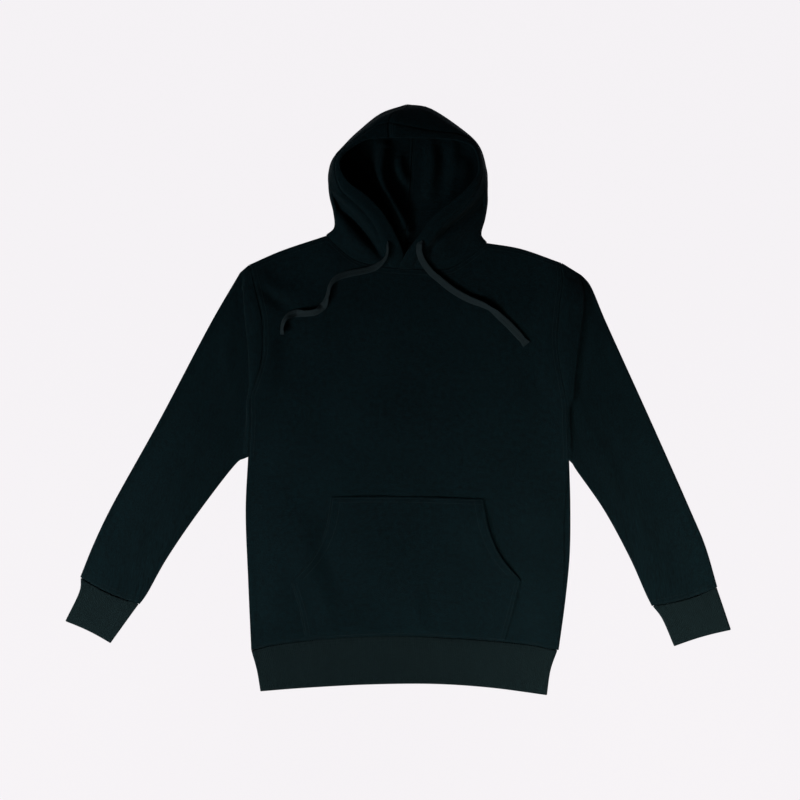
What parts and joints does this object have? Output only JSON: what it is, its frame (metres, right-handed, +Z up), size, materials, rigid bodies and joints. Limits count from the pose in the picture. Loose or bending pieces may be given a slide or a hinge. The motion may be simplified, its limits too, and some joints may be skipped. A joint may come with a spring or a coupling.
{
  "type": "pullover hoodie",
  "caption": "Long-sleeved pullover hoodie laid flat, with a hood, flat drawcord ends, a kangaroo pocket, ribbed cuffs and a ribbed hem band.",
  "frame": {"origin": "middle of the box of the garment without its cord ends, on the surface it lies on", "axes": "+Z up from the surface out of the front, +X to the wearer's left, +Y from the hem to the hood"},
  "size_m": [1.078, 0.956, 0.05],
  "materials": {
    "fleece": "near-black cotton fleece, smooth knit face with a faint heather nap, brushed inside",
    "rib": "near-black ribbed cotton knit, fine upright ribs",
    "cord": "near-black flat cotton braid"
  },
  "bodies": {
    "root": {"body_back": "fleece", "body_front": "fleece", "sleeve_right": "fleece", "sleeve_left": "fleece", "hood_right": "fleece", "hood_left": "fleece", "pocket": "fleece", "cuff_right": "rib", "cuff_left": "rib", "hem_band": "rib", "cord_right": "cord", "cord_left": "cord"}
  },
  "joints": []
}
